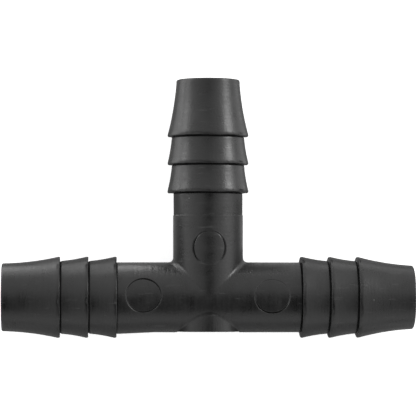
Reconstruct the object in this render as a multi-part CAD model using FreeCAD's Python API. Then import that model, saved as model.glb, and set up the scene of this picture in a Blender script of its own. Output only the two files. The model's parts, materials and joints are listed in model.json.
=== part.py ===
import FreeCAD, Part

import os

# Barbed tee connector for 13 mm irrigation hose: one moulding in black polypropylene.
#
# The run lies along X, the branch points along +Y and Z is up, so the tee lies flat on its barbs.
# The origin is the point where the axis of the run crosses the axis of the branch.
# The moulding is divided where the pieces of its mould met: a body, and a hose spigot on each arm.
# Each of those is a solid of its own, and they meet face to face.
# All sizes are in millimetres.

Vector = FreeCAD.Vector
ALONG_X = Vector(1, 0, 0)
ALONG_Y = Vector(0, 1, 0)
ALONG_Z = Vector(0, 0, 1)
CROSSING = Vector(0, 0, 0)

# ---- Driving dimensions ----------------------------------------------------------------------

# From the crossing of the axes to the rim of each spigot.
RUN_REACH = 38.0
BRANCH_REACH = 40.2

# The water way is one bore through the run and one from its middle out of the branch.
BORE_RADIUS = 4.75
MOUTH_CHAMFER = 0.3

# Walls around the bore. Every outer radius is the bore's radius and one of these.
BARREL_WALL = 1.67
COLLAR_WALL = 1.60
ROOT_WALL = 1.93
PAD_WALL = 1.05
TIP_WALL = {"left": 1.48, "right": 1.11, "branch": 1.09}

# The barbs of a spigot: each slopes up from its root to a crest that ends in a square shoulder.
BARB_COUNT = 3
BARB_PITCH = 5.2
BARB_HEIGHT = 0.82
BARB_HOLLOW = 0.09            # how far the middle of the slope lies under a straight line
CREST_LAND = 0.3
CREST_ROUND = 0.12

# The nose is the longer slope of the outermost barb, which enters the hose first.
NOSE_LENGTH = 10.5
NOSE_HOLLOW = 0.26
RIM_ROUND = 0.3

# The branch has a plain collar between its last barb and the body.
COLLAR_LENGTH = 4.2

# The body's barrels: equal pipes that meet in a tee, with rounded inside corners.
JUNCTION_ROUND = 0.9
LEFT_FLARE = 0.16             # extra radius where the left barrel meets its spigot
LEFT_FLARE_LENGTH = 7.0

# A flat-ended stub opposite the branch, left by the plug that closed the mould there.
PAD_SUNK = 0.08               # how far its flat lies inside the barrel's own outline

# Shallow round marks on top, where the ejector pins pushed.
EJECTOR_RADIUS = 3.2
BRANCH_EJECTOR_RADIUS = 3.05
EJECTOR_DEPTH = 0.1
EJECTOR_FROM_SPIGOT = 5.25
BRANCH_EJECTOR_FROM_COLLAR = 5.7

# ---- Sizes worked out from them --------------------------------------------------------------

BARREL_RADIUS = BORE_RADIUS + BARREL_WALL
COLLAR_RADIUS = BORE_RADIUS + COLLAR_WALL
ROOT_RADIUS = BORE_RADIUS + ROOT_WALL
CREST_RADIUS = ROOT_RADIUS + BARB_HEIGHT
PAD_RADIUS = BORE_RADIUS + PAD_WALL
SPIGOT_LENGTH = NOSE_LENGTH + (BARB_COUNT - 1) * BARB_PITCH
RUN_SHOULDER = RUN_REACH - SPIGOT_LENGTH
BRANCH_SHOULDER = BRANCH_REACH - SPIGOT_LENGTH
BRANCH_END = BRANCH_SHOULDER - COLLAR_LENGTH
OVERRUN = 1.0                 # how far a cutting shape passes the face that it cuts through
SEAM_TURN = 90                # degrees, from the top of a pipe to its side


def pipe(radius, start, end, axis):
    """A solid cylinder on an axis through the crossing, between two distances from it.

    It is turned so that its seam lies in the tee's plane, because the curves where two equal pipes
    meet come to a point above and below that plane, and a seam through such a point spoils the face.
    """
    cylinder = Part.makeCylinder(radius, end - start, axis * start, axis)
    cylinder.rotate(CROSSING, axis, SEAM_TURN)
    return cylinder


def bores():
    """The water way, as the solid that is cut out of the body."""
    through = pipe(BORE_RADIUS, -RUN_SHOULDER - OVERRUN, RUN_SHOULDER + OVERRUN, ALONG_X)
    up_the_branch = pipe(BORE_RADIUS, 0, BRANCH_END + OVERRUN, ALONG_Y)
    return through.fuse(up_the_branch)


def slope(x_start, r_start, x_end, r_end, hollow):
    """The arc between two points of a profile whose middle dips by the hollow below the chord."""
    middle = Vector((x_start + x_end) / 2, (r_start + r_end) / 2 - hollow, 0)
    return Part.Arc(Vector(x_start, r_start, 0), middle, Vector(x_end, r_end, 0)).toShape()


def quarter_round(x_start, r_start, x_end, r_end, bulge_x, bulge_r):
    """A quarter circle between two points, whose square corner is the bulge point."""
    centre = Vector(x_start + x_end - bulge_x, r_start + r_end - bulge_r, 0)
    outward = (Vector(bulge_x, bulge_r, 0) - centre).normalize()
    middle = centre + outward * abs(x_end - x_start)
    return Part.Arc(Vector(x_start, r_start, 0), middle, Vector(x_end, r_end, 0)).toShape()


def line(x_start, r_start, x_end, r_end):
    return Part.makeLine(Vector(x_start, r_start, 0), Vector(x_end, r_end, 0))


def spigot_outline(shoulder, reach, tip_wall, collar_length):
    """The edges of a spigot's half section, from the hub to the rim and back down its bore."""
    tip_radius = BORE_RADIUS + tip_wall
    rim_round = min(RIM_ROUND, tip_wall / 3)
    chamfer = min(MOUTH_CHAMFER, tip_wall / 3)
    inner_end = shoulder - collar_length
    foot = COLLAR_RADIUS if collar_length else BORE_RADIUS
    edges = []
    if collar_length:
        edges.append(line(inner_end, BORE_RADIUS, inner_end, COLLAR_RADIUS))
        edges.append(line(inner_end, COLLAR_RADIUS, shoulder, COLLAR_RADIUS))
    edge_of_crest = CREST_RADIUS - CREST_ROUND
    for barb in range(BARB_COUNT):
        x = shoulder + barb * BARB_PITCH
        land_start = x + CREST_ROUND
        land_end = land_start + CREST_LAND
        edges.append(line(x, foot, x, edge_of_crest))
        edges.append(quarter_round(x, edge_of_crest, land_start, CREST_RADIUS, x, CREST_RADIUS))
        edges.append(line(land_start, CREST_RADIUS, land_end, CREST_RADIUS))
        if barb < BARB_COUNT - 1:
            edges.append(slope(land_end, CREST_RADIUS, x + BARB_PITCH, ROOT_RADIUS, BARB_HOLLOW))
            foot = ROOT_RADIUS
    rim_start = reach - rim_round
    rim_edge = tip_radius - rim_round
    edges.append(slope(land_end, CREST_RADIUS, rim_start, tip_radius, NOSE_HOLLOW))
    edges.append(quarter_round(rim_start, tip_radius, reach, rim_edge, reach, tip_radius))
    edges.append(line(reach, rim_edge, reach, BORE_RADIUS + chamfer))
    edges.append(line(reach, BORE_RADIUS + chamfer, reach - chamfer, BORE_RADIUS))
    edges.append(line(reach - chamfer, BORE_RADIUS, inner_end, BORE_RADIUS))
    return edges


def spigot(shoulder, reach, tip_wall, collar_length, turn):
    """A barbed hose tail on its bore, turned about Z from the +X arm to its own arm."""
    outline = Part.Wire(spigot_outline(shoulder, reach, tip_wall, collar_length))
    tail = Part.Face(outline).revolve(CROSSING, ALONG_X, 360)
    tail.rotate(CROSSING, ALONG_Z, turn)
    return tail


def right_spigot():
    return spigot(RUN_SHOULDER, RUN_REACH, TIP_WALL["right"], 0, 0)


def left_spigot():
    return spigot(RUN_SHOULDER, RUN_REACH, TIP_WALL["left"], 0, 180)


def branch_spigot():
    return spigot(BRANCH_SHOULDER, BRANCH_REACH, TIP_WALL["branch"], COLLAR_LENGTH, 90)


def in_the_junction(edge):
    """Whether an edge is one of the curves where the branch's barrel meets the run's."""
    box = edge.BoundBox
    across = max(abs(box.XMin), abs(box.XMax))
    return not isinstance(edge.Curve, Part.Line) and across < RUN_SHOULDER and box.YMax < BRANCH_END


def barrels():
    """The body's two barrels in one, with the corners between them rounded."""
    run = pipe(BARREL_RADIUS, -RUN_SHOULDER, RUN_SHOULDER, ALONG_X)
    branch = pipe(BARREL_RADIUS, 0, BRANCH_END, ALONG_Y)
    tee = run.fuse(branch).removeSplitter()
    return tee.makeFillet(JUNCTION_ROUND, [edge for edge in tee.Edges if in_the_junction(edge)])


def left_flare():
    """The cone by which the left barrel grows towards its spigot."""
    return Part.makeCone(
        BARREL_RADIUS + LEFT_FLARE,
        BARREL_RADIUS,
        LEFT_FLARE_LENGTH,
        Vector(-RUN_SHOULDER, 0, 0),
        ALONG_X,
    )


def with_pad(barrel):
    """The barrel with the stub on the side away from the branch, and nothing proud of its flat."""
    flat = BARREL_RADIUS - PAD_SUNK
    stub = pipe(PAD_RADIUS, 0, flat, ALONG_Y * -1)
    in_front_of_it = pipe(PAD_RADIUS, flat, BARREL_RADIUS + OVERRUN, ALONG_Y * -1)
    return barrel.fuse(stub).cut(in_front_of_it)


def ejector_mark(x, y, radius, barrel_axis):
    """A round pocket in the top of a barrel, as deep everywhere as the mark."""
    pin = Part.makeCylinder(radius, BARREL_RADIUS * 2, Vector(x, y, 0), ALONG_Z)
    reach = RUN_REACH + BRANCH_REACH
    return pin.cut(pipe(BARREL_RADIUS - EJECTOR_DEPTH, -reach, reach, barrel_axis))


def tee_body():
    """The hub of the tee: both barrels, the pad opposite the branch, the bores and the marks."""
    mark_x = RUN_SHOULDER - EJECTOR_FROM_SPIGOT
    mark_y = BRANCH_END - BRANCH_EJECTOR_FROM_COLLAR
    body = with_pad(barrels().fuse(left_flare())).cut(bores())
    body = body.cut(ejector_mark(-mark_x, 0, EJECTOR_RADIUS, ALONG_X))
    body = body.cut(ejector_mark(mark_x, 0, EJECTOR_RADIUS, ALONG_X))
    return body.cut(ejector_mark(0, mark_y, BRANCH_EJECTOR_RADIUS, ALONG_Y))


NODES = {
    "tee_body": tee_body,
    "left_spigot": left_spigot,
    "right_spigot": right_spigot,
    "branch_spigot": branch_spigot,
}

os.makedirs("parts", exist_ok=True)
for name, make in NODES.items():
    shape = make()
    shape.exportStep("parts/" + name + ".step")
    print(name, len(shape.Solids), "solid", round(shape.Volume, 1), "mm3", shape.isValid())
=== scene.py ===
import json

import bmesh
import bpy
import numpy as np
from mathutils import Matrix, Vector


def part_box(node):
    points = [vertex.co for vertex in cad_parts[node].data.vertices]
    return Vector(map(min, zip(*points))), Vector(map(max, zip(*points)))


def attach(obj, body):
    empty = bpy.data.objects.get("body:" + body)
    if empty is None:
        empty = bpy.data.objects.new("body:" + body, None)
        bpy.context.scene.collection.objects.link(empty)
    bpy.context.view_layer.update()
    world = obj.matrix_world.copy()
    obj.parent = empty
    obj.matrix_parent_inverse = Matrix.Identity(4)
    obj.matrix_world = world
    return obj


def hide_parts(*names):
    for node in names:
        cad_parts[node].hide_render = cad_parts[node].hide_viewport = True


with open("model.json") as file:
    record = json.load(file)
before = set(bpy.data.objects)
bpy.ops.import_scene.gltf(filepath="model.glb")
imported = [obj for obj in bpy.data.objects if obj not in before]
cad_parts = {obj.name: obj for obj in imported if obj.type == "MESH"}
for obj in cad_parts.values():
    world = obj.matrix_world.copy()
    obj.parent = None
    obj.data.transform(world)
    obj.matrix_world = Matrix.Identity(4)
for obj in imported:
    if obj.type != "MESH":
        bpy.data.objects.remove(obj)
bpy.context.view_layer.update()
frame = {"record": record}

# ---- Hose tails ------------------------------------------------------------------------------
# Each arm ends in a barbed tail: a long nose, then two shorter barbs, all round and hollow. They
# are part of the one moulding in black polypropylene, formed in turned cavities, so they have
# crisp crests, fine turning lines, and a hair of flash along both sides where the halves met.

MM = 0.001
mounts = {mount["name"]: mount for mount in frame["record"]["mounts"]}
BORE = mounts["run_bore"]["dims"]["r_mm"] * MM
CREST = mounts["right_hose"]["dims"]["r_mm"] * MM
RUN_SHOULDER, RUN_REACH = [corner.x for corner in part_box("right_spigot")]
BRANCH_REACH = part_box("branch_spigot")[1].y
HUB_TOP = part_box("tee_body")[1].y
LEFT_BARBS_BACK = 0.2 * MM      # the left cavity's barbs sit this much nearer the middle
SHOULDER = {"left": RUN_SHOULDER - LEFT_BARBS_BACK, "right": RUN_SHOULDER,
            "branch": BRANCH_REACH - (RUN_REACH - RUN_SHOULDER)}
TIP = {"left": 6.23 * MM, "right": 5.86 * MM, "branch": 5.84 * MM}      # radius at the rim
BARREL = 6.42 * MM              # radius of the body's pipes
COLLAR = 6.35 * MM              # radius of the plain stretch under the branch's barbs
ROOT = 6.68 * MM                # radius between two barbs
BARB_PITCH = 5.2 * MM
BARBS = 3
BARB_HOLLOW = 0.09 * MM
NOSE_HOLLOW = 0.26 * MM
CREST_LAND = 0.22 * MM
CREST_ROUND = 0.13 * MM
UNDERCUT = 0.12 * MM            # how far a shoulder leans back under its crest
FOOT_RELIEF = 0.17 * MM         # depth of the sharp groove at the foot of a shoulder
FOOT_LIP = 0.27 * MM            # where that groove starts, before the shoulder
FOOT_WALL = 0.12 * MM           # and where it is 0.6 of its depth
SLOPE_END = 0.35 * MM           # where a slope ends before the next shoulder
RIM_ROUND = 0.3 * MM
MOUTH_CHAMFER = 0.3 * MM
EDGE_ROW = 0.1 * MM             # spare rows this near to an edge keep it crisp
MOUTH_ROW = 0.05 * MM
LAND_ROW = 0.04 * MM
HAIR = 0.02 * MM
FLASH = 0.045 * MM              # how far the flash stands out, beside the crests' own radius
FLASH_WIDTH = 0.09 * MM
SEAM_STEPS = np.array([0, 0.5, 1, 1.6, 2.4])    # points beside a seam, in widths of the flash
TAIL_STEPS = 176                # points once round a tail, besides those at the seams
COLLAR_ROWS, BARB_ROWS, NOSE_ROWS, RIM_ROWS, BORE_ROWS = 8, 14, 26, 6, 12
WELD_GAP = 0.0008 * MM          # points closer than this are one
TAIL_RIPPLE = 0.018 * MM
SKIN_DEPTH = 0.8 * MM           # unevenness fades to nothing over this, towards the bore
RAGGED = 0.015 * MM
NICKS = 4
NICK_DEPTH = 0.05 * MM
NICK_WIDTH = 0.3 * MM
CREST_WOBBLE = 0.02 * MM


def around(steps, line_width):
    """Angles once round, closer together beside the two mould seams at 0 and half a turn."""
    even = np.linspace(0, np.pi, steps // 2, endpoint=False)[1:]
    fine = SEAM_STEPS * line_width
    between_seams = even[(even > fine[-1]) & (even < np.pi - fine[-1])]
    half = np.unique(np.concatenate([fine, between_seams, np.pi - fine[1:]]))
    return np.concatenate([half, half + np.pi])


def hollow_slope(start, end, hollow, steps):
    """Points between two (x, r) ends on a parabola that dips by the hollow at the middle."""
    t = np.linspace(0, 1, steps)[:, None]
    points = np.array(start) * (1 - t) + np.array(end) * t
    points[:, 1] -= 4 * hollow * (t * (1 - t))[:, 0]
    return points


def arc(centre, radius, start_degrees, end_degrees, steps=5):
    """Points on an arc about (x, r), from one angle to another."""
    a = np.radians(np.linspace(start_degrees, end_degrees, steps))
    return np.array(centre) + radius * np.stack([np.cos(a), np.sin(a)], 1)


def tail_outline(inner_end, shoulder, reach, foot, tip, crest):
    """A tail's half section as (distance from the crossing, radius), out from the hub and back.

    Each shoulder leans back under a rounded crest and stands in a sharp little groove, and the
    slopes between crests are hollow. The second array is how much of each point is crest.
    """
    parts, crests = [], []

    def add(points, weight):
        parts.append(np.array(points, float).reshape(-1, 2))
        crests.append(np.full(len(parts[-1]), weight, float))

    add([(inner_end, BORE), (inner_end, BORE + EDGE_ROW)], 0)
    if inner_end < shoulder:
        add([(inner_end, foot - EDGE_ROW), (inner_end, foot), (inner_end + HAIR, foot)], 0)
        add(hollow_slope((inner_end + 3 * EDGE_ROW, foot), (shoulder - SLOPE_END, foot), 0,
                         COLLAR_ROWS), 0)
    for barb in range(BARBS):
        x = shoulder + barb * BARB_PITCH
        if inner_end < shoulder or barb:
            add([(x - FOOT_LIP, foot), (x - FOOT_WALL, foot - 0.6 * FOOT_RELIEF)], 0)
            add([(x + 0.5 * UNDERCUT, foot - FOOT_RELIEF), (x + UNDERCUT, foot - FOOT_RELIEF)], 0)
            add([(x + UNDERCUT, foot)], 0)
        else:
            add([(x, foot - 3 * EDGE_ROW), (x, foot + HAIR)], 0)
        add([(x + 0.35 * UNDERCUT, crest - CREST_ROUND - 2 * EDGE_ROW)], 0)
        add([(x, crest - CREST_ROUND - 1.5 * HAIR)], 0.3)
        add(arc((x + CREST_ROUND, crest - CREST_ROUND), CREST_ROUND, 180, 90), 1)
        land_end = x + CREST_ROUND + CREST_LAND
        add([(x + CREST_ROUND + LAND_ROW, crest), (land_end - LAND_ROW, crest)], 1)
        if barb < BARBS - 1:
            foot = ROOT
            end = (x + BARB_PITCH - SLOPE_END, ROOT + HAIR)
            add(hollow_slope((land_end, crest), end, BARB_HOLLOW, BARB_ROWS), 0)
    rim_start = reach - RIM_ROUND
    add(hollow_slope((land_end, crest), (rim_start, tip), NOSE_HOLLOW, NOSE_ROWS), 0)
    add(arc((rim_start, tip - RIM_ROUND), RIM_ROUND, 90, 0, RIM_ROWS)[1:], 0)
    add([(reach, tip - RIM_ROUND - MOUTH_ROW), (reach, BORE + MOUTH_CHAMFER + MOUTH_ROW)], 0)
    add(arc((reach - MOUTH_CHAMFER, BORE + MOUTH_CHAMFER), MOUTH_CHAMFER, 0, -90), 0)
    bore_start = (reach - MOUTH_CHAMFER - MOUTH_ROW, BORE)
    add(hollow_slope(bore_start, (inner_end, BORE), 0, BORE_ROWS), 0)
    return np.concatenate(parts), np.concatenate(crests)


def ripples(a, b, amount, seed):
    """Slow unevenness of a moulded skin: a sum of six sine waves of random slopes and phases."""
    rng = np.random.default_rng(seed)
    total = np.zeros(np.broadcast(a, b).shape)
    waves = 6
    for _ in range(waves):
        along, across, phase = rng.uniform(0.15, 0.9), rng.integers(1, 5), rng.uniform(0, 2 * np.pi)
        total += np.sin(along * a / MM + across * b + phase)
    return total * amount / waves


def seam_flash(z, amount):
    """The ridge of flash, as extra radius: a bell curve of the height over the parting plane."""
    return amount * np.exp(-((z / FLASH_WIDTH) ** 2))


def welded(name, grids):
    """One closed mesh object from grids of points (rows, columns, xyz), joined where they meet.

    Every grid cell is a quad. Points that coincide are merged, and all faces are turned outwards.
    """
    points, quads, start = [], [], 0
    for grid in grids:
        rows, columns = grid.shape[:2]
        index = np.arange(rows * columns).reshape(rows, columns) + start
        corners = [index[:-1, :-1], index[1:, :-1], index[1:, 1:], index[:-1, 1:]]
        quads.append(np.stack(corners, -1).reshape(-1, 4))
        points.append(grid.reshape(-1, 3))
        start += rows * columns
    mesh = bpy.data.meshes.new(name)
    mesh.from_pydata(np.concatenate(points).tolist(), [], np.concatenate(quads).tolist())
    work = bmesh.new()
    work.from_mesh(mesh)
    bmesh.ops.remove_doubles(work, verts=work.verts, dist=WELD_GAP)
    bmesh.ops.dissolve_degenerate(work, edges=work.edges, dist=WELD_GAP / 2)
    bmesh.ops.recalc_face_normals(work, faces=work.faces)
    work.to_mesh(mesh)
    work.free()
    mesh.shade_smooth()
    piece = bpy.data.objects.new(name, mesh)
    bpy.context.scene.collection.objects.link(piece)
    return piece


def linear(hex_colour):
    """An sRGB hex colour as linear RGBA."""
    srgb = np.array([int(hex_colour[i:i + 2], 16) for i in (1, 3, 5)]) / 255
    rgb = np.where(srgb <= 0.04045, srgb / 12.92, ((srgb + 0.055) / 1.055) ** 2.4)
    return (*rgb.tolist(), 1.0)


def node(tree, kind, settings=(), **links):
    """Adds a node, with its settings as (name or socket, value) pairs, and links its inputs.

    A link's name is its socket's, with _ for a space, or _ and the socket's number.
    """
    made = tree.nodes.new(kind)
    for key, value in settings:
        if isinstance(key, str) and hasattr(made, key):
            setattr(made, key, value)
        else:
            made.inputs[key].default_value = value
    for key, output in links.items():
        slot = int(key[1:]) if key[0] == "_" else key.replace("_", " ")
        tree.links.new(output, made.inputs[slot])
    return made


BLACK = "#131313"
BLACK_PALE = "#1B1B1B"
SCUFF_GREY = "#4A4A4A"
DUST_GREY = "#707070"
PATCHES_PER_MM = 0.35           # gloss changes over some 3 mm
GRAINS_PER_MM = 2.6             # peel of the skin, 0.4 mm
LINES_PER_MM = 2.3              # turning lines, drawn 0.4 mm apart
LINE_LENGTHS_PER_MM = 0.26
SPECKS_PER_MM = 0.21            # dust, one to a cell of 5 mm, of which only a few reach the skin
SCUFFS_PER_MM = (0.22, 1.7, 0.5)
SCUFF_LEAN = (0.3, 0.2, 0.7)    # turn of the scuffs, in radians
PEEL_DEPTH = 0.022 * MM
LINE_DEPTH = {"run": 0.018 * MM, "branch": 0.010 * MM, "body": 0.03 * MM}
COLOUR_MIX_END = 7              # the second colour's socket on a Mix node; 0 is Factor, 6 the first
POLYPROPYLENE_IOR = 1.49


def moulded_polypropylene(part, turned_along):
    """Black polypropylene as moulded: dark, satin, a little uneven in gloss from cooling flow.

    The cavities were turned on a lathe, so fine lines run round each arm: noise that changes fast
    along the arm and slowly across it. The real lines are some 0.05 mm apart, which is too fine
    to show, so they are drawn about 0.4 mm apart. Handling leaves a few grey specks of dust, up to
    0.3 mm wide, and faint scuffs a few millimetres long, which are duller and paler.
    """
    material = bpy.data.materials.new("moulded_polypropylene_" + part)
    material.use_nodes = True
    tree = material.node_tree
    shader = tree.nodes["Principled BSDF"]
    place = node(tree, "ShaderNodeTexCoord").outputs["Object"]
    per_mm = node(tree, "ShaderNodeMapping", [("Scale", (1 / MM, 1 / MM, 1 / MM))],
                  Vector=place).outputs[0]
    scale = [(LINES_PER_MM if axis == turned_along else LINE_LENGTHS_PER_MM) / MM for axis in "xyz"]
    lines_at = node(tree, "ShaderNodeMapping", [("Scale", scale)], Vector=place).outputs[0]
    scuffs_at = node(tree, "ShaderNodeMapping",
                     [("Rotation", SCUFF_LEAN), ("Scale", SCUFFS_PER_MM)],
                     Vector=per_mm).outputs[0]
    cloud = node(tree, "ShaderNodeTexNoise", [("Scale", PATCHES_PER_MM), ("Detail", 4.0)],
                 Vector=per_mm)
    grain = node(tree, "ShaderNodeTexNoise", [("Scale", GRAINS_PER_MM), ("Detail", 3.0)],
                 Vector=per_mm)
    lines = node(tree, "ShaderNodeTexNoise", [("Scale", 1.0), ("Detail", 2.0)], Vector=lines_at)
    scuffs = node(tree, "ShaderNodeTexNoise", [("Scale", 1.0), ("Detail", 5.0), ("Roughness", 0.7)],
                  Vector=scuffs_at)
    specks = node(tree, "ShaderNodeTexVoronoi", [("Scale", SPECKS_PER_MM)], Vector=per_mm)

    colour = node(tree, "ShaderNodeValToRGB", Fac=cloud.outputs["Fac"])
    colour.color_ramp.elements[0].position = 0.3
    colour.color_ramp.elements[0].color = linear(BLACK)
    colour.color_ramp.elements[1].position = 0.75
    colour.color_ramp.elements[1].color = linear(BLACK_PALE)
    scuffed = node(tree, "ShaderNodeMapRange",
                   [("From Min", 0.60), ("From Max", 0.72), ("To Min", 0.0), ("To Max", 0.35)],
                   Value=scuffs.outputs["Fac"]).outputs["Result"]
    dust = node(tree, "ShaderNodeMapRange",
                [("From Min", 0.016), ("From Max", 0.028), ("To Min", 0.6), ("To Max", 0.0)],
                Value=specks.outputs["Distance"]).outputs["Result"]
    worn = node(tree, "ShaderNodeMix",
                [("data_type", "RGBA"), (COLOUR_MIX_END, linear(SCUFF_GREY))],
                _0=scuffed, _6=colour.outputs["Color"]).outputs[2]
    dusty = node(tree, "ShaderNodeMix",
                 [("data_type", "RGBA"), (COLOUR_MIX_END, linear(DUST_GREY))],
                 _0=dust, _6=worn).outputs[2]
    tree.links.new(dusty, shader.inputs["Base Color"])

    gloss = node(tree, "ShaderNodeMapRange",
                 [("From Min", 0.3), ("From Max", 0.7), ("To Min", 0.26), ("To Max", 0.38)],
                 Value=cloud.outputs["Fac"]).outputs["Result"]
    streaks = node(tree, "ShaderNodeMapRange",
                   [("From Min", 0.3), ("From Max", 0.7), ("To Min", -0.04), ("To Max", 0.05)],
                   Value=lines.outputs["Fac"]).outputs["Result"]
    streaked = node(tree, "ShaderNodeMath", [("operation", "ADD")], _0=gloss, _1=streaks).outputs[0]
    dulled = node(tree, "ShaderNodeMath", [("operation", "MULTIPLY_ADD"), (1, 0.5)],
                  _0=scuffed, _2=streaked).outputs[0]
    tree.links.new(dulled, shader.inputs["Roughness"])

    peel = node(tree, "ShaderNodeBump", [("Strength", 1.0), ("Distance", PEEL_DEPTH)],
                Height=grain.outputs["Fac"])
    turned = node(tree, "ShaderNodeBump", [("Strength", 1.0), ("Distance", LINE_DEPTH[part])],
                  Height=lines.outputs["Fac"], Normal=peel.outputs["Normal"])
    tree.links.new(turned.outputs["Normal"], shader.inputs["Normal"])
    shader.inputs["IOR"].default_value = POLYPROPYLENE_IOR
    return material


run_polypropylene = moulded_polypropylene("run", "x")
branch_polypropylene = moulded_polypropylene("branch", "y")


def hose_tail(arm, inner_end, reach, foot, seed):
    """A tail turned about its arm: its outline's radius, carried round the arm's axis.

    To each radius are added the ripples, the flash and, on the crests, a ragged edge with nicks,
    which also wobbles along the arm in waves of three and seven to a turn.
    """
    crest = CREST - FLASH
    outline, crestness = tail_outline(inner_end, SHOULDER[arm], reach, foot, TIP[arm], crest)
    angle = around(TAIL_STEPS, FLASH_WIDTH / CREST)
    x, radius = outline[:, :1], outline[:, 1:]
    outside = np.clip((radius - BORE) / SKIN_DEPTH, 0, 1)
    rng = np.random.default_rng(seed)
    ragged = rng.normal(0, 1, len(angle))
    ragged = (ragged + np.roll(ragged, 1) + np.roll(ragged, -1)) / 3
    radius = radius + outside * (ripples(x, angle, TAIL_RIPPLE, seed) - TAIL_RIPPLE)
    nick_angle = rng.uniform(0, 2 * np.pi, NICKS)
    turned_by = np.abs(np.angle(np.exp(1j * (angle - nick_angle[:, None])))) * CREST
    nicks = np.exp(-((turned_by / NICK_WIDTH) ** 2)).sum(0)
    radius = radius - crestness[:, None] * (RAGGED * np.abs(ragged) + NICK_DEPTH * nicks)
    radius = radius + outside * seam_flash(radius * np.sin(angle), FLASH)
    wobble = np.sin(3 * angle + seed) + np.sin(7 * angle + 2 * seed) + 1.5 * ragged
    along = x + crestness[:, None] * CREST_WOBBLE * wobble
    side, up = radius * np.cos(angle), radius * np.sin(angle)
    x_of, y_of = {"right": (along, side), "left": (-along, side), "branch": (side, along)}[arm]
    grid = np.stack([x_of, y_of, up], -1)
    closed = np.concatenate([grid, grid[:, :1]], 1)
    closed = np.concatenate([closed, closed[:1]], 0)
    piece = welded(arm + "_hose_tail", [closed])
    piece.data.materials.append(branch_polypropylene if arm == "branch" else run_polypropylene)
    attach(piece, "root")
    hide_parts(arm + "_spigot")


hose_tail("left", SHOULDER["left"], RUN_REACH, BARREL, seed=11)
hose_tail("right", SHOULDER["right"], RUN_REACH, BARREL, seed=12)
hose_tail("branch", HUB_TOP, BRANCH_REACH, COLLAR, seed=13)

# ---- Body ------------------------------------------------------------------------------------
# The tee's body: two equal barrels that meet with rounded inside corners, and a flat stub opposite
# the branch, left by the plug that closed the mould there. Same shot of black polypropylene as the
# tails. Round marks on top are where ejector pins pushed, each in a groove with a thin burr.

BARREL_JUNCTION = 0.9 * MM      # radius of the inside corners
JUNCTION_END = 7.6 * MM         # past the corners, where each arm is a plain pipe
SKIN_WAVES = 7
SKIN_WAVE_SLOPE = 0.55 / MM
SKIN_RIPPLE = 0.0022 * MM
SKIN_SEED = 5
BODY_FLASH = 0.035 * MM
LEFT_FLARE = 0.15 * MM          # at the sides; none towards the branch, and twice this opposite
LEFT_FLARE_LENGTH = 7.0 * MM
FOOT_GROOVE = {"left": 0.05 * MM, "right": 0.12 * MM}
FOOT_GROOVE_WIDTH = 0.13 * MM
# Each ejector mark's distance along its arm, how far round the pipe it sits, and its sizes.
MARK_AT = {"left": 12.03 * MM, "right": 11.52 * MM, "branch": 9.05 * MM}
MARK_ASIDE = {"left": -0.41 * MM, "right": -0.17 * MM, "branch": 0.0}
MARK_RADIUS = {"left": 3.17 * MM, "right": 3.17 * MM, "branch": 3.05 * MM}
MARK_HALF = {"left": 4.1 * MM, "right": 4.1 * MM, "branch": 3.6 * MM}     # half its cut-out
MARK_SEED = {"left": 19, "right": 21, "branch": 31}
MARK_CELLS = 44                 # along and round the pipe, over a mark's cut-out
EDGE_RINGS = np.linspace(-0.36, 0.4, 20) * MM       # across a mark's edge
FLOOR_RINGS, SPREAD_RINGS = 10, 7                   # within those, and from them to the cut-out
PIN_FLATNESS = {"left": 0.22, "right": 0.16, "branch": 0.0}     # 1 would be a flat-ended pin
# Where round its edge each mark's groove and burr are strongest, and how far they fade opposite.
GROOVE_TURN = {"left": (-2.3, 0.5), "right": (1.7, 0.9), "branch": (np.pi, 0.55)}
BURR_TURN = {"left": (0.9, 0.75), "right": (2.5, 0.8), "branch": (np.pi / 2, 0.3)}
GROOVE_WIDTH = {"left": 0.09 * MM, "right": 0.09 * MM, "branch": 0.13 * MM}
GROOVE_DEPTH = 0.12 * MM
GROOVE_DEEPER = 0.32 * MM       # added at the sides of a mark
BURR_HEIGHT = 0.07 * MM
BURR_WIDTH = 0.08 * MM
BURR_OUT = 0.13 * MM            # how far outside the edge it stands on the run
BURR_MIDDLE, BURR_SWING = 0.02 * MM, 0.2 * MM       # on the branch, its mean place and swing
MARK_FLOOR = 0.012 * MM
MARK_EDGE = 0.03 * MM
PAD_RADIUS = 5.8 * MM           # the flat stub's
PAD_FLAT = 6.34 * MM            # from the run's axis to its flat
PAD_EDGE = 0.14 * MM
SHORTEST_WALL = 0.02 * MM
DISH_DEPTH = 0.22 * MM
DISH_RADIUS = 0.75 * MM
DISH_RINGS = np.linspace(0, 1.6 * MM, 14)
FLAT_RINGS = np.linspace(1.9 * MM, PAD_RADIUS - PAD_EDGE, 12)
CORNER_ROWS, BESIDE_CORNER_ROWS, NECK_ROWS = 9, 34, 12
SIDE_CELLS = 30                 # round an arm, from a seam to a mark's cut-out
ACROSS_CELLS = 66               # over the crossing, from one arm to the other
PAD_MARGIN = 3                  # of these cells are left at either side of the pad
END_ROWS = np.array([0.3, 0.2, 0.1, 0]) * MM        # close rows at each arm's end
NECK_BEND = 2.2 * MM            # how much farther out the neck's rows are beside the corners
CORNER_MIDDLE = 0.3 * MM        # the turning lines change direction on the inside corners


def skin(p):
    """Extra height of a moulded skin at points: slow ripples in space, and flash at z = 0."""
    rng = np.random.default_rng(SKIN_SEED)
    waves = rng.normal(0, SKIN_WAVE_SLOPE, (SKIN_WAVES, 3))
    phases = rng.uniform(0, 2 * np.pi, SKIN_WAVES)
    return np.sin(p @ waves.T + phases).sum(-1) * SKIN_RIPPLE + seam_flash(p[..., 2], BODY_FLASH)


def stack(*parts):
    """Numbers or arrays as the coordinates of points."""
    return np.stack(np.broadcast_arrays(*parts), -1)


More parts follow.
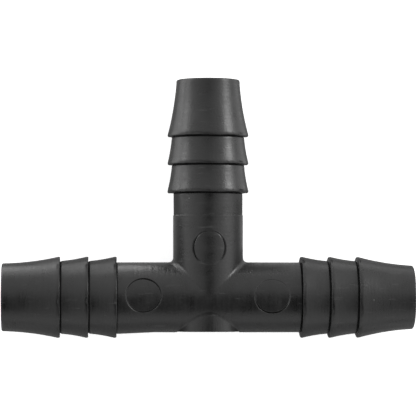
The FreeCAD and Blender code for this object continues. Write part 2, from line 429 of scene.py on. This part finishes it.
def ring_angles():
    """Angles round an arm from 0 to a full turn, the same above and below and front and back.

    They are even over the ejector marks, and close together at the two mould seams.
    """
    over_mark = MARK_HALF["left"] / BARREL
    mark = np.linspace(np.pi / 2 - over_mark, np.pi / 2, MARK_CELLS // 2 + 1)
    seam = np.append(SEAM_STEPS, 1.5 * SEAM_STEPS[-1]) * FLASH_WIDTH / BARREL
    rest = np.linspace(seam[-1], mark[0], SIDE_CELLS)
    quarter_turn = np.concatenate([seam[:-1], rest[:-1], mark])
    half_turn = np.concatenate([quarter_turn, np.pi - quarter_turn[-2::-1]])
    return np.concatenate([half_turn, half_turn[1:] + np.pi])


# All round an arm, its half that faces the branch, and its half that faces away.
ANGLES = ring_angles()
QUARTER = (len(ANGLES) - 1) // 4
FRONT = np.concatenate([ANGLES[3 * QUARTER:-1] - 2 * np.pi, ANGLES[:QUARTER + 1]])
BACK = ANGLES[QUARTER:3 * QUARTER + 1]


def pipe_point(along, angle, radius, arm):
    """A point on an arm's pipe: the distance along the arm, and the angle from the tee's plane."""
    across, up = radius * np.cos(angle), radius * np.sin(angle)
    if arm == "branch":
        return stack(across, along, up)
    return stack(along if arm == "right" else -along, across, up)


def on_pipe(along, angle, arm, sunk=0):
    """A point of the body's skin on an arm: the pipe and the skin's unevenness on it.

    The left pipe flares towards its tail, on the side away from the branch, and each pipe of the
    run has a little groove at the foot of the tail's shoulder.
    """
    grown = skin(pipe_point(along, angle, BARREL, arm)) - sunk
    if arm != "branch":
        from_foot = (SHOULDER[arm] - along) / FOOT_GROOVE_WIDTH
        grown = grown - FOOT_GROOVE[arm] * np.exp(-(from_foot ** 2))
    if arm == "left":
        past = np.clip((along - SHOULDER[arm]) / LEFT_FLARE_LENGTH + 1, 0, 1)
        grown = grown + LEFT_FLARE * past * (1 - np.cos(angle))
    return pipe_point(along, angle, BARREL + grown, arm)


def between(start, end, steps):
    """Rows of values from one array to another."""
    t = np.linspace(0, 1, steps).reshape(-1, *[1] * np.ndim(start))
    return start * (1 - t) + end * t


def round_corner(side):
    """The inside corner between an arm and the branch: the trace of a rolling ball.

    The ball's centre is at radius R + r from both axes, on c = ((R+r) cos a, (R+r) cos a,
    (R+r) sin a). The skin is the arc about c from its nearest point of one pipe to that of the
    other, which is a slerp between the directions from c to the two axes. These two are one above
    and below the crossing, where the gap between them is kept from being nothing.
    """
    outer = BARREL + BARREL_JUNCTION
    a = FRONT[None, :]
    centre = stack(outer * np.cos(a), outer * np.cos(a), outer * np.sin(a))
    to_run = stack(0, -np.cos(a), -np.sin(a))
    to_branch = stack(-np.cos(a), 0, -np.sin(a))
    gap = np.maximum(np.arccos(np.clip((to_run * to_branch).sum(-1), -1, 1)), 1e-7)[..., None]
    t = np.linspace(0, 1, CORNER_ROWS)[:, None, None]
    toward = (np.sin((1 - t) * gap) * to_run + np.sin(t * gap) * to_branch) / np.sin(gap)
    flat = centre + BARREL_JUNCTION * toward
    flat[..., 0] *= side
    toward = toward * np.array([side, 1, 1])
    return flat - skin(flat)[..., None] * toward


def cut_out(grid, rows, columns):
    """The four grids left when the cells between two rows and two columns are taken out."""
    (i0, i1), (j0, j1) = rows, columns
    return [grid[:i0 + 1], grid[i1:], grid[i0:i1 + 1, :j0 + 1], grid[i0:i1 + 1, j1:]]


def edge_of(table, rows, columns):
    """The values of a table once round the edge of a block of its cells, closed."""
    (i0, i1), (j0, j1) = rows, columns
    block = table[i0:i1 + 1, j0:j1 + 1]
    return np.concatenate([block[0, :-1], block[:-1, -1], block[-1, :0:-1], block[::-1, 0]])


def faded(turn, strongest, fade):
    """1 at the strongest turn round a mark, and less by the fade at the opposite one."""
    return 1 - fade * (0.5 - 0.5 * np.cos(turn - strongest))


def groove(out, turn, arm, sunk):
    """Depth of an ejector mark at a distance outside its edge: a floor, a groove and a burr.

    Within the edge the floor is sunk as given. The groove and the burr beside it are bell curves of
    the distance. The groove is deep at the sides, by the square of the turn's sine, where the flat
    pin met the round barrel steeply, and both fade with the cosine of the turn from their strongest.
    Both swell by a sum of three sines. On the branch both die away before and behind the mark, and
    the burr swings from outside the edge on the tail's side to inside it on the other.
    """
    phase = np.random.default_rng(MARK_SEED[arm]).uniform(0, 2 * np.pi, 5)
    swell = sum(np.sin(k * turn + phase[k]) for k in (1, 2, 4)) / 3
    steep = np.sin(turn) ** 2
    if arm == "branch":
        shown, burr_shown = steep ** 0.75, 0.8
        burr_out = BURR_MIDDLE + BURR_SWING * np.cos(turn)
    else:
        shown, burr_shown = 1.0, 1 - 0.85 * steep
        burr_out = BURR_OUT
    floor = sunk / (1 + np.exp(np.clip(out / MARK_EDGE, -30, 30)))
    trench = (GROOVE_DEPTH + GROOVE_DEEPER * steep) * (1 + 0.4 * swell)
    trench = trench * faded(turn, *GROOVE_TURN[arm])
    trench = trench * np.exp(-(((out - MARK_EDGE * swell) / GROOVE_WIDTH[arm]) ** 2))
    burr = BURR_HEIGHT * (1 + swell) * faded(turn, *BURR_TURN[arm]) * burr_shown
    burr = burr * np.exp(-(((out - burr_out) / BURR_WIDTH) ** 2))
    return floor + shown * (trench - burr)


def ejector_mark(arm, along_edge, angle_edge):
    """A grid of rings from a mark's middle, through its round edge, out to the cut-out's edge.

    Lengths along the arm and round its pipe are the two coordinates. Ring points are on circles
    about the middle, as far as a little outside the edge, and from there on straight lines.
    """
    centre, aside, radius = MARK_AT[arm], MARK_ASIDE[arm], MARK_RADIUS[arm]
    a, s = along_edge - centre, (angle_edge - np.pi / 2) * BARREL - aside
    turn = np.arctan2(s, a)
    floor_rings = np.linspace(0, radius + EDGE_RINGS[0], FLOOR_RINGS)[:-1]
    rings = np.concatenate([floor_rings, radius + EDGE_RINGS])[:, None]
    round_a, round_s = rings * np.cos(turn), rings * np.sin(turn)
    out_a = between(round_a[-1], a, SPREAD_RINGS)[1:]
    out_s = between(round_s[-1], s, SPREAD_RINGS)[1:]
    a_all, s_all = np.concatenate([round_a, out_a]), np.concatenate([round_s, out_s])
    out = np.hypot(a_all, s_all) - radius
    flatter = PIN_FLATNESS[arm] * np.clip(radius ** 2 - s_all ** 2, 0, None) / (2 * BARREL)
    sunk = groove(out, turn, arm, MARK_FLOOR + flatter)
    sunk[-1] = 0
    return on_pipe(a_all + centre, (s_all + aside) / BARREL + np.pi / 2, arm, sunk)


def marked_pipe(arm, first_row, end, angles):
    """An arm's skin from a first row of distances to its end, with an ejector mark on top.

    Rows run straight on from the first to the mark's cut-out, over it in even cells, and on.
    """
    centre, half = MARK_AT[arm], MARK_HALF[arm]
    start = np.maximum(first_row, centre - half)
    lead = between(first_row, start, 3)[:-1]
    over = between(start, centre + half + 0 * angles, MARK_CELLS + 1)
    near_end = end - END_ROWS[:, None] + 0 * angles
    last = between(over[-1], near_end[0], 8)[1:]
    along = np.concatenate([lead, over, last, near_end[1:]])
    angle = np.broadcast_to(angles, along.shape)
    middle = int(np.argmin(np.abs(angles - np.pi / 2)))
    rows = (len(lead), len(lead) + MARK_CELLS)
    columns = (middle - MARK_CELLS // 2, middle + MARK_CELLS // 2)
    edges = edge_of(along, rows, columns), edge_of(angle, rows, columns)
    return cut_out(on_pipe(along, angle, arm), rows, columns) + [ejector_mark(arm, *edges)]


def pad(along_edge, angle_edge):
    """The flat stub opposite the branch, as rings from its middle out over the barrel.

    Its flat has a shallow dish in the middle, where the mould was filled. Its edge is an arc. Its
    wall is a straight cylinder down to the barrel, at a height of the stub's radius times the sine
    of the turn, and from there the rings spread over the barrel to the edge of the cut-out.
    """
    x_edge, s_edge = along_edge, (angle_edge - np.pi) * BARREL
    turn = np.arctan2(-s_edge, x_edge)
    meet_z = PAD_RADIUS * np.sin(turn)
    meet_y = np.sqrt(BARREL ** 2 - meet_z ** 2)
    flat_rings = np.concatenate([DISH_RINGS, FLAT_RINGS])[:, None]
    dish = DISH_DEPTH * np.exp(-((flat_rings / DISH_RADIUS) ** 6))
    flat = stack(flat_rings * np.cos(turn), dish - PAD_FLAT, flat_rings * np.sin(turn))
    gap = PAD_FLAT - meet_y
    drop = np.where(gap < PAD_EDGE + SHORTEST_WALL, gap, PAD_EDGE)
    bend = np.radians(np.linspace(0, 90, 6))[1:, None]
    edge_radius = PAD_RADIUS - PAD_EDGE + PAD_EDGE * np.sin(bend)
    edge = stack(edge_radius * np.cos(turn), -PAD_FLAT + drop * (1 - np.cos(bend)),
                 edge_radius * np.sin(turn))
    wall_y = between(-PAD_FLAT + drop, -meet_y, 7)[1:-1]
    wall = stack(PAD_RADIUS * np.cos(turn), wall_y, meet_z)
    x_ring = between(PAD_RADIUS * np.cos(turn), x_edge, 9)
    angle_ring = between(np.pi - np.arcsin(meet_z / BARREL), angle_edge, 9)
    spread = on_pipe(x_ring, angle_ring, "right")
    return np.concatenate([flat, edge, wall, spread])


def bores():
    """The inside of the body: three straight pipes that meet on the planes between their axes."""
    grids = []
    for arm in ("left", "right"):
        to_front = between(BORE * np.cos(FRONT), SHOULDER[arm] + 0 * FRONT, BORE_ROWS)
        grids.append(pipe_point(to_front, FRONT, BORE, arm))
        to_back = between(0 * BACK, SHOULDER[arm] + 0 * BACK, BORE_ROWS)
        grids.append(pipe_point(to_back, BACK, BORE, arm))
    for side in (-1, 1):
        up_branch = between(BORE * np.cos(FRONT), HUB_TOP + 0 * FRONT, BORE_ROWS)
        grids.append(pipe_point(up_branch, FRONT, BORE, "branch") * np.array([side, 1, 1]))
    return grids


def end_face(arm, end, angles):
    """The ring where an arm's skin meets its tail, from the skin in to the bore."""
    outer_edge = on_pipe(end + 0 * angles, angles, arm)
    return between(outer_edge, pipe_point(end + 0 * angles, angles, BORE, arm), 3)


body_polypropylene = moulded_polypropylene("body", "x")


def body():
    """All of the body's skin: pipes, corners, pad and marks, the bores, and the three end faces.

    Round the branch's neck the rows bend from the inside corners to the mark by a smoothstep.
    """
    outer = BARREL + BARREL_JUNCTION
    grids = bores()
    for arm, side in (("left", -1), ("right", 1)):
        beside = between(outer * np.cos(FRONT), JUNCTION_END + 0 * FRONT, BESIDE_CORNER_ROWS)
        grids.append(on_pipe(beside, FRONT, arm))
        grids += marked_pipe(arm, JUNCTION_END + 0 * ANGLES, SHOULDER[arm], ANGLES)
        grids.append(round_corner(side))
        grids.append(end_face(arm, SHOULDER[arm], ANGLES))
    across = np.linspace(-JUNCTION_END, JUNCTION_END, ACROSS_CELLS + 1)[:, None]
    x, angle = np.broadcast_arrays(across, BACK[None, :])
    rows = (PAD_MARGIN, ACROSS_CELLS - PAD_MARGIN)
    columns = (MARK_CELLS // 4, len(BACK) - 1 - MARK_CELLS // 4)
    grids += cut_out(on_pipe(x, angle, "right"), rows, columns)
    grids.append(pad(edge_of(x, rows, columns), edge_of(angle, rows, columns)))
    up = np.concatenate([FRONT, np.pi - FRONT[-2::-1]])
    near = np.abs(np.cos(up))
    bulge = np.clip((near - 0.6) / 0.4, 0, 1)
    neck = MARK_AT["branch"] - MARK_HALF["branch"] + NECK_BEND * bulge ** 2 * (3 - 2 * bulge)
    grids.append(on_pipe(between(outer * near, neck, NECK_ROWS), up, "branch"))
    grids += marked_pipe("branch", neck, HUB_TOP, up)
    grids.append(end_face("branch", HUB_TOP, up))
    piece = welded("tee_hub", grids)
    piece.data.materials.append(body_polypropylene)
    piece.data.materials.append(branch_polypropylene)
    middles = np.empty(len(piece.data.polygons) * 3)
    piece.data.polygons.foreach_get("center", middles)
    x, y, _ = middles.reshape(-1, 3).T
    on_branch = (y > np.abs(x) + CORNER_MIDDLE).astype(np.int32)
    piece.data.polygons.foreach_set("material_index", on_branch)
    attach(piece, "root")
    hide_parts("tee_body")
    return piece


hub = body()

# ---- Studio ----------------------------------------------------------------------------------
# A plain pale floor, a dim ceiling, and three large soft lights standing low round the part. They
# and lit strips of the table make the long highlights on the barrels, and the dim ceiling is
# mirrored as the dark band between them.

FLOOR_SIZE = 3.0
FLOOR_TONE_SEEN = 0.9           # seen straight, the paper is pale and glows a little
FLOOR_GLOW_SEEN = 0.68
FLOOR_TONE_PAINTED_SHADE = 0.42           # it lights the part and is mirrored in it as a greyer one: painted shade, for the floor's shade round the part
WHITE = (1, 1, 1, 1)
floor_mesh = bpy.data.meshes.new("floor")
corner = FLOOR_SIZE / 2
floor_mesh.from_pydata([(-corner, -corner, -CREST), (corner, -corner, -CREST),
                        (corner, corner, -CREST), (-corner, corner, -CREST)], [], [(0, 1, 2, 3)])
floor = bpy.data.objects.new("floor", floor_mesh)
bpy.context.scene.collection.objects.link(floor)
pale = bpy.data.materials.new("pale_paper")
pale.use_nodes = True
paper = pale.node_tree.nodes["Principled BSDF"]
# The camera sees the pale, glowing paper. All other rays see the greyer tone, which is painted shade
# mirrored in the part.
seen = node(pale.node_tree, "ShaderNodeLightPath").outputs["Is Camera Ray"]
tone = node(pale.node_tree, "ShaderNodeMapRange",
            [("To Min", FLOOR_TONE_PAINTED_SHADE), ("To Max", FLOOR_TONE_SEEN)], Value=seen)
glow = node(pale.node_tree, "ShaderNodeMapRange",
            [("To Min", 0.0), ("To Max", FLOOR_GLOW_SEEN)], Value=seen)
pale.node_tree.links.new(tone.outputs["Result"], paper.inputs["Base Color"])
pale.node_tree.links.new(glow.outputs["Result"], paper.inputs["Emission Strength"])
paper.inputs["Emission Color"].default_value = WHITE
paper.inputs["Roughness"].default_value = 0.9
floor.data.materials.append(pale)

world = bpy.data.worlds.new("studio")
bpy.context.scene.world = world
world.use_nodes = True
sky = world.node_tree
background = sky.nodes["Background"]
toward = node(sky, "ShaderNodeTexCoord").outputs["Generated"]
split = node(sky, "ShaderNodeSeparateXYZ", Vector=toward)


def curve(axis, *stops):
    """The walls' brightness by one axis of the direction: straight lines between stops.

    Each stop is (position, result). Positions run from 0 at the axis's minus end to 1.
    """
    halved = node(sky, "ShaderNodeMapRange", [("From Min", -1.0)], Value=split.outputs[axis])
    ramp = node(sky, "ShaderNodeValToRGB", Fac=halved.outputs["Result"])
    made = ramp.color_ramp.elements
    for count, (position, result) in enumerate(stops):
        stop = made[count] if count < len(made) else made.new(position)
        stop.position = position
        stop.color = (result, result, result, 1)
    return ramp.outputs["Color"]


def combine(operation, first, second):
    """Two values as one, by a sum or a product."""
    return node(sky, "ShaderNodeMath", [("operation", operation)], _0=first, _1=second).outputs[0]


across = curve("X", (0.0, 0.75), (0.22, 0.34), (0.5, 0.0), (0.75, 0.35), (1.0, 1.0))
along = curve("Y", (0.0, 0.92), (0.2, 0.46), (0.5, 0.5), (0.75, 0.8), (1.0, 1.0))
tent = combine("ADD", across, along)
# The ceiling's dim zone is an ellipse about a direction that leans back from straight up.
leaned = node(sky, "ShaderNodeMapping", [("Rotation", (np.radians(-21), 0, 0))], Vector=toward)
narrowed = node(sky, "ShaderNodeMapping", [("Scale", (1.65, 1, 0)), ("Location", (-0.04, 0, 0))],
                Vector=leaned.outputs[0])
off_centre = node(sky, "ShaderNodeVectorMath", [("operation", "LENGTH")],
                  _0=narrowed.outputs[0])
opening = node(sky, "ShaderNodeMapRange",
               [("interpolation_type", "SMOOTHSTEP"), ("From Min", 0.40), ("From Max", 0.64),
                ("To Min", 0.10), ("To Max", 1.0)], Value=off_centre.outputs["Value"])
sky.links.new(combine("MULTIPLY", tent, opening.outputs["Result"]), background.inputs["Strength"])
background.inputs["Color"].default_value = WHITE


def area_light(name, place, facing, size, watts):
    """A rectangular soft light at a place, facing a direction, that isn't itself seen."""
    light = bpy.data.lights.new(name, "AREA")
    light.shape = "RECTANGLE"
    light.size, light.size_y = size
    light.energy = watts
    lamp = bpy.data.objects.new(name, light)
    lamp.location = place
    lamp.rotation_mode = "QUATERNION"
    lamp.rotation_quaternion = Vector(facing).to_track_quat("-Z", "Y")
    lamp.visible_camera = False
    bpy.context.scene.collection.objects.link(lamp)
    return lamp


def softbox(name, place, size, watts):
    """A large soft light that faces the part."""
    area_light(name, place, -Vector(place), size, watts)


softbox("left_softbox", (-0.97, 0.50, 0.14), (0.55, 0.4), 2.35)
softbox("right_softbox", (0.97, 0.50, 0.44), (0.5, 0.4), 4.5)
softbox("far_softbox", (-0.45, 1.1, 0.06), (1.0, 0.2), 1.2)

TABLE_GAP = 0.02 * MM


def lit_table(name, x_ends, y_ends, brightness, pieces=()):
    """A stretch of the table that shines up unseen, as where light from a low window falls.

    Where pieces are named, it lights only those.
    """
    size = x_ends[1] - x_ends[0], y_ends[1] - y_ends[0]
    place = (sum(x_ends) / 2, sum(y_ends) / 2, TABLE_GAP - CREST)
    lamp = area_light(name, place, (0, 0, 1), size, brightness * np.pi * size[0] * size[1])
    if pieces:
        lit = bpy.data.collections.new(name + "_lights")
        for piece in pieces:
            lit.objects.link(piece)
        lamp.light_linking.receiver_collection = lit


lit_table("lit_table_far_left", (-0.11, -0.037), (0.021, 0.13), 2.9)
lit_table("lit_table_left", (-0.037, -0.0185), (0.021, 0.13), 1.2)
lit_table("lit_table_right", (0.0165, 0.11), (0.021, 0.13), 0.85)
lit_table("lit_table_neck", (-0.0185, -0.0100), (0.020, 0.10), 3.7, [hub])
lit_table("lit_table_close_left", (-0.0185, -0.0070), (0.0070, 0.020), 0.22, [hub])
lit_table("lit_table_close_right", (0.0090, 0.0200), (0.0090, 0.022), 0.32, [hub])
lit_table("lit_table_near_left", (-0.09, -0.041), (-0.06, -0.016), 0.7)
lit_table("lit_table_near_right", (0.041, 0.09), (-0.06, -0.016), 0.5)

# ---- Camera ----------------------------------------------------------------------------------
# It looks down on the tee as it lies on the floor, from half a metre above and two centimetres to
# the left, through a long lens, so the tee is seen nearly flat.

CAMERA_PLACE = (-0.0217, 0, 0.481)
AIM = (0, 0.0165, 0)
SENSOR = 36.0                   # millimetres, as is the lens
LENS = 225.5
camera_data = bpy.data.cameras.new("camera")
camera_data.sensor_width = SENSOR
camera_data.lens = LENS
camera = bpy.data.objects.new("camera", camera_data)
camera.location = CAMERA_PLACE
back = (camera.location - Vector(AIM)).normalized()
side = Vector((0, 1, 0)).cross(back).normalized()
upward = back.cross(side)
camera.rotation_mode = "QUATERNION"
camera.rotation_quaternion = Matrix((side, upward, back)).transposed().to_quaternion()
bpy.context.scene.collection.objects.link(camera)
bpy.context.scene.camera = camera
bpy.context.scene.view_settings.view_transform = "Standard"
